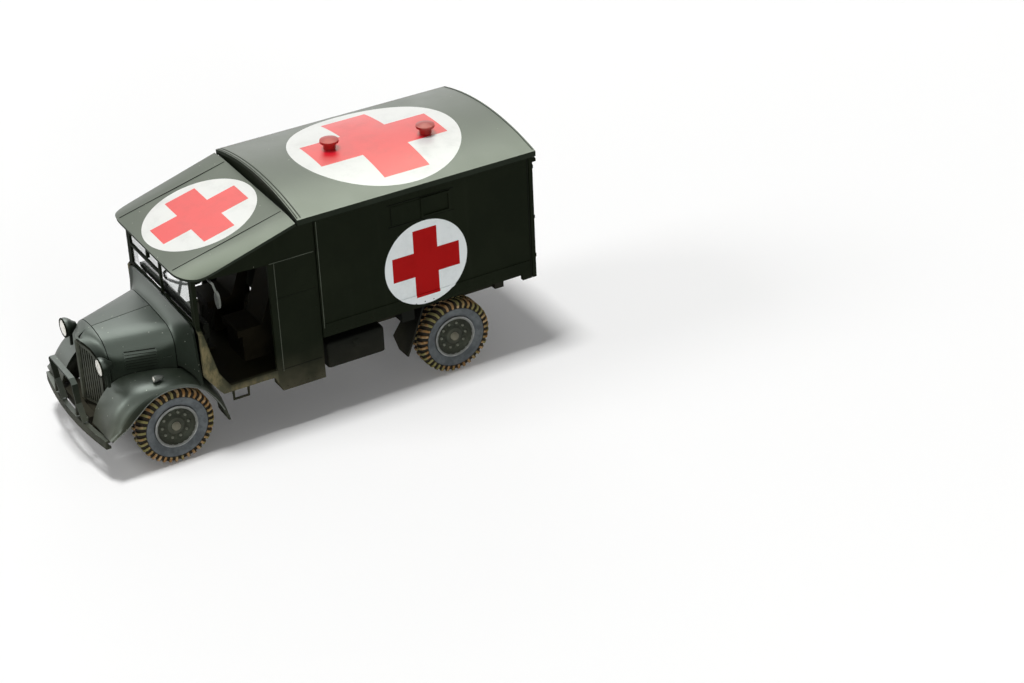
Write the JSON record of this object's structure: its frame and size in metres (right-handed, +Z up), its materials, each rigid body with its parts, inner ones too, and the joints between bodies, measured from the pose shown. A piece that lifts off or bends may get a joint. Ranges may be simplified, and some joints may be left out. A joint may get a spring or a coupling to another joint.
{
  "type": "scale model military ambulance truck",
  "caption": "Scale model of a wartime ambulance truck: arched box body with medical crosses, open forward cab, tapered bonnet and free-turning wheels.",
  "frame": {"origin": "ground level under the middle of the model's box, on its centre plane", "axes": "+X to the vehicle's left, +Y to its rear (the front faces -Y), +Z up"},
  "size_m": [0.0486, 0.1174, 0.0605],
  "materials": {
    "body_paint": "matt dark green paint on styrene, dusted along the lower edges",
    "chassis_paint": "matt near-black green paint with dust",
    "seat_paint": "matt brown paint",
    "red_paint": "matt red paint",
    "tyre": "matt dark grey with dry dust on the tread",
    "glazing": "clear thin plastic"
  },
  "bodies": {
    "truck": {"body_floor": "chassis_paint", "body_front": "body_paint", "body_roof": "body_paint", "body_side_left": "body_paint", "body_side_right": "body_paint", "bonnet_left": "body_paint", "bonnet_right": "body_paint", "cab_floor": "chassis_paint", "cab_roof": "body_paint", "cab_side_left": "body_paint", "cab_side_right": "body_paint", "chassis_frame": "chassis_paint", "dashboard": "chassis_paint", "engine_block": "chassis_paint", "exhaust_pipe": "chassis_paint", "floor_levers": "chassis_paint", "front_axle": "chassis_paint", "front_bumper": "body_paint", "fuel_tank": "chassis_paint", "headlamp_left": "body_paint", "headlamp_right": "body_paint", "mirror_left": "body_paint", "mirror_right": "body_paint", "mud_flap_left": "chassis_paint", "mud_flap_right": "chassis_paint", "propeller_shaft": "chassis_paint", "radiator_core": "chassis_paint", "radiator_grille": "chassis_paint", "radiator_guard": "body_paint", "radiator_shell": "body_paint", "rear_axle": "chassis_paint", "rear_door_left": "body_paint", "rear_door_right": "body_paint", "rear_step": "chassis_paint", "rear_window_left": "glazing", "rear_window_right": "glazing", "roof_vent_front": "red_paint", "roof_vent_rear": "red_paint", "scuttle": "body_paint", "seat_driver": "seat_paint", "seat_passenger": "seat_paint", "sidelight_left": "body_paint", "sidelight_right": "body_paint", "steering_wheel": "chassis_paint", "step_left": "body_paint", "step_right": "body_paint", "stowage_box": "chassis_paint", "windscreen_frame": "body_paint", "windscreen_glass": "glazing", "wing_front_left": "body_paint", "wing_front_right": "body_paint"},
    "wheel_front_left": {"tyre_front_left": "tyre", "wheel_disc_front_left": "body_paint"},
    "wheel_front_right": {"tyre_front_right": "tyre", "wheel_disc_front_right": "body_paint"},
    "wheel_rear_left": {"tyre_rear_left": "tyre", "wheel_disc_rear_left": "body_paint"},
    "wheel_rear_right": {"tyre_rear_right": "tyre", "wheel_disc_rear_right": "body_paint"}
  },
  "joints": [
    {"name": "roll_front_left", "type": "hinge", "parent": "truck", "child": "wheel_front_left", "pos_m": [0.0177, -0.0391, 0.0096], "axis": [1, 0, 0], "continuous": true},
    {"name": "roll_front_right", "type": "hinge", "parent": "truck", "child": "wheel_front_right", "pos_m": [-0.0177, -0.0391, 0.0096], "axis": [1, 0, 0], "continuous": true},
    {"name": "roll_rear_left", "type": "hinge", "parent": "truck", "child": "wheel_rear_left", "pos_m": [0.0177, 0.0349, 0.0096], "axis": [1, 0, 0], "continuous": true},
    {"name": "roll_rear_right", "type": "hinge", "parent": "truck", "child": "wheel_rear_right", "pos_m": [-0.0177, 0.0349, 0.0096], "axis": [1, 0, 0], "continuous": true}
  ]
}
